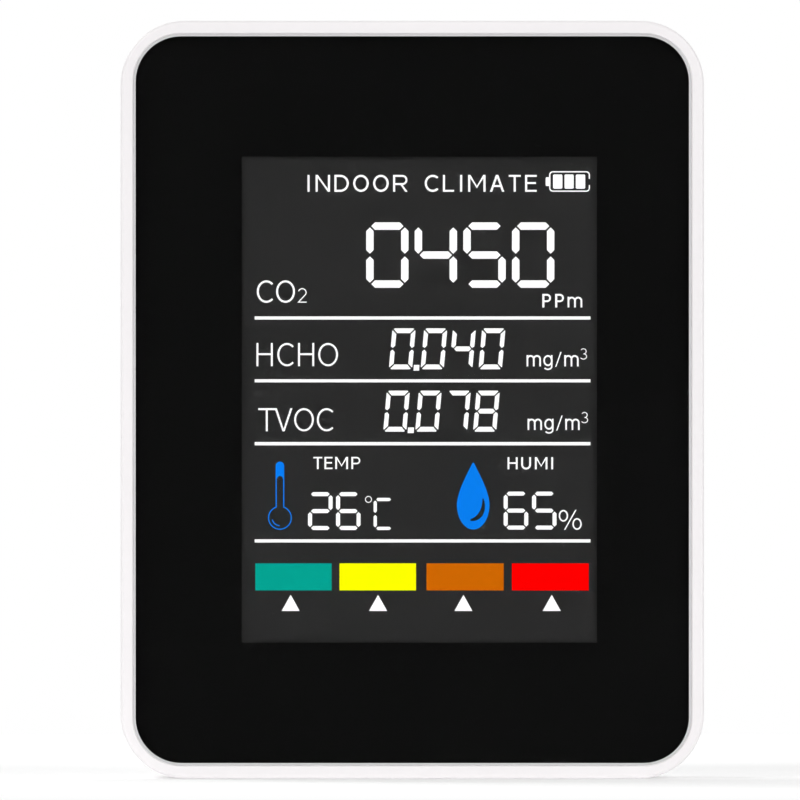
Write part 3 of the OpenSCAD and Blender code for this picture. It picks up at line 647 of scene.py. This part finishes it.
# thermometer: tube outline with a full top, and a round bulb
tx, tr, s = 4.53, 0.45, 0.12
bulb_v, bulb_r = 42.91, 1.35
join = math.degrees(math.acos(tr / bulb_r))
tube = arc(tx, 36.23 + s / 2 + tr, tr, tr, 0, 180, 16)
bulb = arc(tx, bulb_v, bulb_r, bulb_r, 180 - join, 360 + join, 44)
blue.line(tube + bulb, s, True)
fill = arc(tx, 36.23 + s / 2 + tr, tr, tr, 0, 180, 16)
fill += [(tx - tr, 38.24)] + arc(tx, 38.24, tr * 0.72, 0.30, 180, 0, 12) + [(tx + tr, 38.24)]
blue.polygon(fill)
blue.line(arc(tx, bulb_v, 0.93, 0.93, 193, 268, 12), 0.11)
# drop
dx = 27.50
left = bezier((25.56, 41.37), (25.56, 39.75), (26.98, 37.30), (dx - 0.10, 36.42), 18)
tip = [(dx - 0.04, 36.35), (dx + 0.04, 36.35)]
right = [(2 * dx - u, v) for u, v in reversed(left)]
drop = left + tip + right + arc(dx, 41.37, 1.94, 2.93, 0, -180, 36)[1:-1]
blue.polygon(drop)
blue.make()
shadow = Plate("display_drop_cut", MATS["polarizer_film"], lift=0.07)
outer = bezier((28.70, 40.62), (29.22, 41.75), (28.72, 43.42), (27.17, 43.28), 16)
inner = bezier((27.17, 43.06), (28.10, 42.78), (28.58, 41.90), (28.60, 40.66), 16)
shadow.polygon(outer + inner)
shadow.make()


# ---------------------------------------------------------------- frosted cut edge of the lens, grey as painted light
def rounded_outline(x0, x1, z0, z1, r, n=20):
    pts = []
    for cx, cz, a0 in ((x1 - r, z1 - r, 0), (x0 + r, z1 - r, 90), (x0 + r, z0 + r, 180), (x1 - r, z0 + r, 270)):
        for i in range(n + 1):
            a = math.radians(a0 + 90 * i / n)
            pts.append((cx + r * math.cos(a), cz + r * math.sin(a)))
    return pts


def lens_edge():
    """The lens is cut from sheet, so its edge scatters light: a narrow matt band round its front face. Its mid grey is
    painted light, standing in for the light the clear cut edge catches.
    """
    a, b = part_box("front_lens")
    radius = 5.63 * MM
    out, inn = 0.03 * MM, 0.235 * MM
    y_face = a.y
    rings = []
    for off, y in ((out, y_face + 0.03 * MM), (out, y_face - 0.004 * MM), (0.0, y_face - 0.018 * MM),
                   (-inn + 0.02 * MM, y_face - 0.018 * MM), (-inn, y_face - 0.003 * MM)):
        rings.append((off, y))
    bm = bmesh.new()
    loops = []
    for off, y in rings:
        loops.append([bm.verts.new((x, y, z)) for x, z in
                      rounded_outline(a.x - off, b.x + off, a.z - off, b.z + off, radius + off)])
    n = len(loops[0])
    for p, q in zip(loops, loops[1:] + loops[:1]):
        for i in range(n):
            j = (i + 1) % n
            bm.faces.new((p[i], p[j], q[j], q[i]))
    bmesh.ops.recalc_face_normals(bm, faces=bm.faces)
    me = bpy.data.meshes.new("lens_edge")
    bm.to_mesh(me)
    bm.free()
    o = bpy.data.objects.new("lens_edge", me)
    scene.collection.objects.link(o)
    # the band's mid grey is painted light, the tone the lit clear edge of the lens shows
    me.materials.append(moulded("frosted_edge_painted_light", (0.60, 0.60, 0.605, 1), rough=0.5, grain=6000, bump=0.1, var=0.015))
    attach(o, "case")


lens_edge()


# ---------------------------------------------------------------- printed mark beside the button
def power_mark():
    b_lo, b_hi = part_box("power_button")
    h_lo, h_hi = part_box("front_housing")
    cy, cz, x = (b_lo.y + b_hi.y) / 2 - 0.0, b_hi.z + 3.1 * MM, h_hi.x
    bm = bmesh.new()

    def ribbon(pts, w):
        q = []
        n = len(pts)
        for i, p in enumerate(pts):
            a, b = Vector(pts[max(i - 1, 0)]), Vector(pts[min(i + 1, n - 1)])
            t = (b - a).normalized()
            k = Vector((-t.y, t.x)) * w / 2
            q.append([bm.verts.new((xx, cy + (p[0] + s * k.x) * MM, cz + (p[1] + s * k.y) * MM))
                      for s in (1, -1) for xx in (x - 0.06 * MM, x)])
        for a, b in zip(q, q[1:]):
            bm.faces.new((a[1], b[1], b[3], a[3]))
            bm.faces.new((a[0], a[2], b[2], b[0]))
            bm.faces.new((a[0], b[0], b[1], a[1]))
            bm.faces.new((a[2], a[3], b[3], b[2]))
        bm.faces.new(q[0])
        bm.faces.new(q[-1])

    ribbon([(1.0 * math.cos(math.radians(a)), 1.0 * math.sin(math.radians(a))) for a in range(130, 411, 10)], 0.26)
    ribbon([(0, 0.25), (0, 1.25)], 0.26)
    bmesh.ops.recalc_face_normals(bm, faces=bm.faces)
    me = bpy.data.meshes.new("power_mark")
    bm.to_mesh(me)
    bm.free()
    o = bpy.data.objects.new("power_mark", me)
    scene.collection.objects.link(o)
    me.materials.append(moulded("mark_ink", (0.18, 0.18, 0.185, 1), rough=0.5, bump=0.05, var=0.04))
    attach(o, "case")


power_mark()


# ---------------------------------------------------------------- stage
def floor():
    bm = bmesh.new()
    x0, x1, y0, y1 = -0.45, 0.45, lo.y - 0.15, 0.5
    nx, ny = 12, 10
    grid = [[bm.verts.new((x0 + (x1 - x0) * i / nx, y0 + (y1 - y0) * j / ny, 0)) for j in range(ny + 1)] for i in range(nx + 1)]
    for i in range(nx):
        for j in range(ny):
            bm.faces.new((grid[i][j], grid[i + 1][j], grid[i + 1][j + 1], grid[i][j + 1]))
    me = bpy.data.meshes.new("floor")
    bm.to_mesh(me)
    bm.free()
    o = bpy.data.objects.new("floor", me)
    scene.collection.objects.link(o)
    o.location.z = lo.z - 0.00002
    k = Nodes("floor_paper")
    grain = k.noise(900, 3.0)
    k.set(Base_Color=k.ramp(grain, (0.93, 0.93, 0.93, 1), (0.95, 0.95, 0.95, 1)), Roughness=k.span(grain, 0.85, 0.95),
          Specular_IOR_Level=0.1)
    k.p.inputs["Emission Color"].default_value = (1, 1, 1, 1)
    # a little brighter away from the object, so the far edge melts into the backdrop
    away = k.new("ShaderNodeVectorMath", operation="LENGTH")
    k.link(k.coord.outputs["Object"], away.inputs[0])
    k.link(k.span(away.outputs["Value"], 0.22, 0.34, 0.14, 0.36), k.p.inputs["Emission Strength"])
    me.materials.append(k.mat)


floor()

world = bpy.data.worlds.new("studio")
scene.world = world
world.use_nodes = True
wt = world.node_tree
bg = wt.nodes["Background"]
bg.inputs["Color"].default_value = (1, 1, 1, 1)
coord = wt.nodes.new("ShaderNodeTexCoord")
dot = wt.nodes.new("ShaderNodeVectorMath")
dot.operation = "DOT_PRODUCT"
dot.inputs[1].default_value = (0, -1, 0)
wt.links.new(coord.outputs["Generated"], dot.inputs[0])
flag = wt.nodes.new("ShaderNodeMapRange")
flag.interpolation_type = "SMOOTHSTEP"
flag.inputs["From Min"].default_value = math.cos(math.radians(34))
flag.inputs["From Max"].default_value = math.cos(math.radians(12))
flag.inputs["To Min"].default_value = 1.0
flag.inputs["To Max"].default_value = 0.02
wt.links.new(dot.outputs["Value"], flag.inputs["Value"])
# the studio is brighter below the horizon, where its floor runs on
height = wt.nodes.new("ShaderNodeSeparateXYZ")
wt.links.new(coord.outputs["Generated"], height.inputs[0])
below = wt.nodes.new("ShaderNodeMapRange")
below.interpolation_type = "SMOOTHSTEP"
below.inputs["From Min"].default_value = -0.06
below.inputs["From Max"].default_value = 0.06
below.inputs["To Min"].default_value = 0.85
below.inputs["To Max"].default_value = 0.40
wt.links.new(height.outputs["Z"], below.inputs["Value"])
ambient = wt.nodes.new("ShaderNodeMath")
ambient.operation = "MULTIPLY"
wt.links.new(flag.outputs["Result"], ambient.inputs[0])
wt.links.new(below.outputs["Result"], ambient.inputs[1])
path_node = wt.nodes.new("ShaderNodeLightPath")
pick = wt.nodes.new("ShaderNodeMix")
pick.data_type = "FLOAT"
wt.links.new(path_node.outputs["Is Camera Ray"], pick.inputs[0])
wt.links.new(ambient.outputs[0], pick.inputs[2])
pick.inputs[3].default_value = 1.0
wt.links.new(pick.outputs[0], bg.inputs["Strength"])


def softbox(name, place_at, size, watts, aim=(0, 0, 0.045)):
    d = bpy.data.lights.new(name, "AREA")
    d.shape = "RECTANGLE"
    d.size, d.size_y = size
    d.energy = watts
    o = bpy.data.objects.new(name, d)
    scene.collection.objects.link(o)
    o.location = place_at
    o.rotation_mode = "QUATERNION"
    o.rotation_quaternion = (Vector(aim) - Vector(place_at)).to_track_quat("-Z", "Y")


softbox("key_left", (-0.60, -1.15, 0.72), (0.5, 0.5), 7.1)
softbox("fill_right", (0.70, -1.10, 0.55), (0.6, 0.6), 5.8)
softbox("overhead", (0.0, 0.25, 1.1), (0.9, 0.9), 1.4)
softbox("rear_left", (-0.7, 0.8, 0.6), (0.5, 0.5), 4.2)
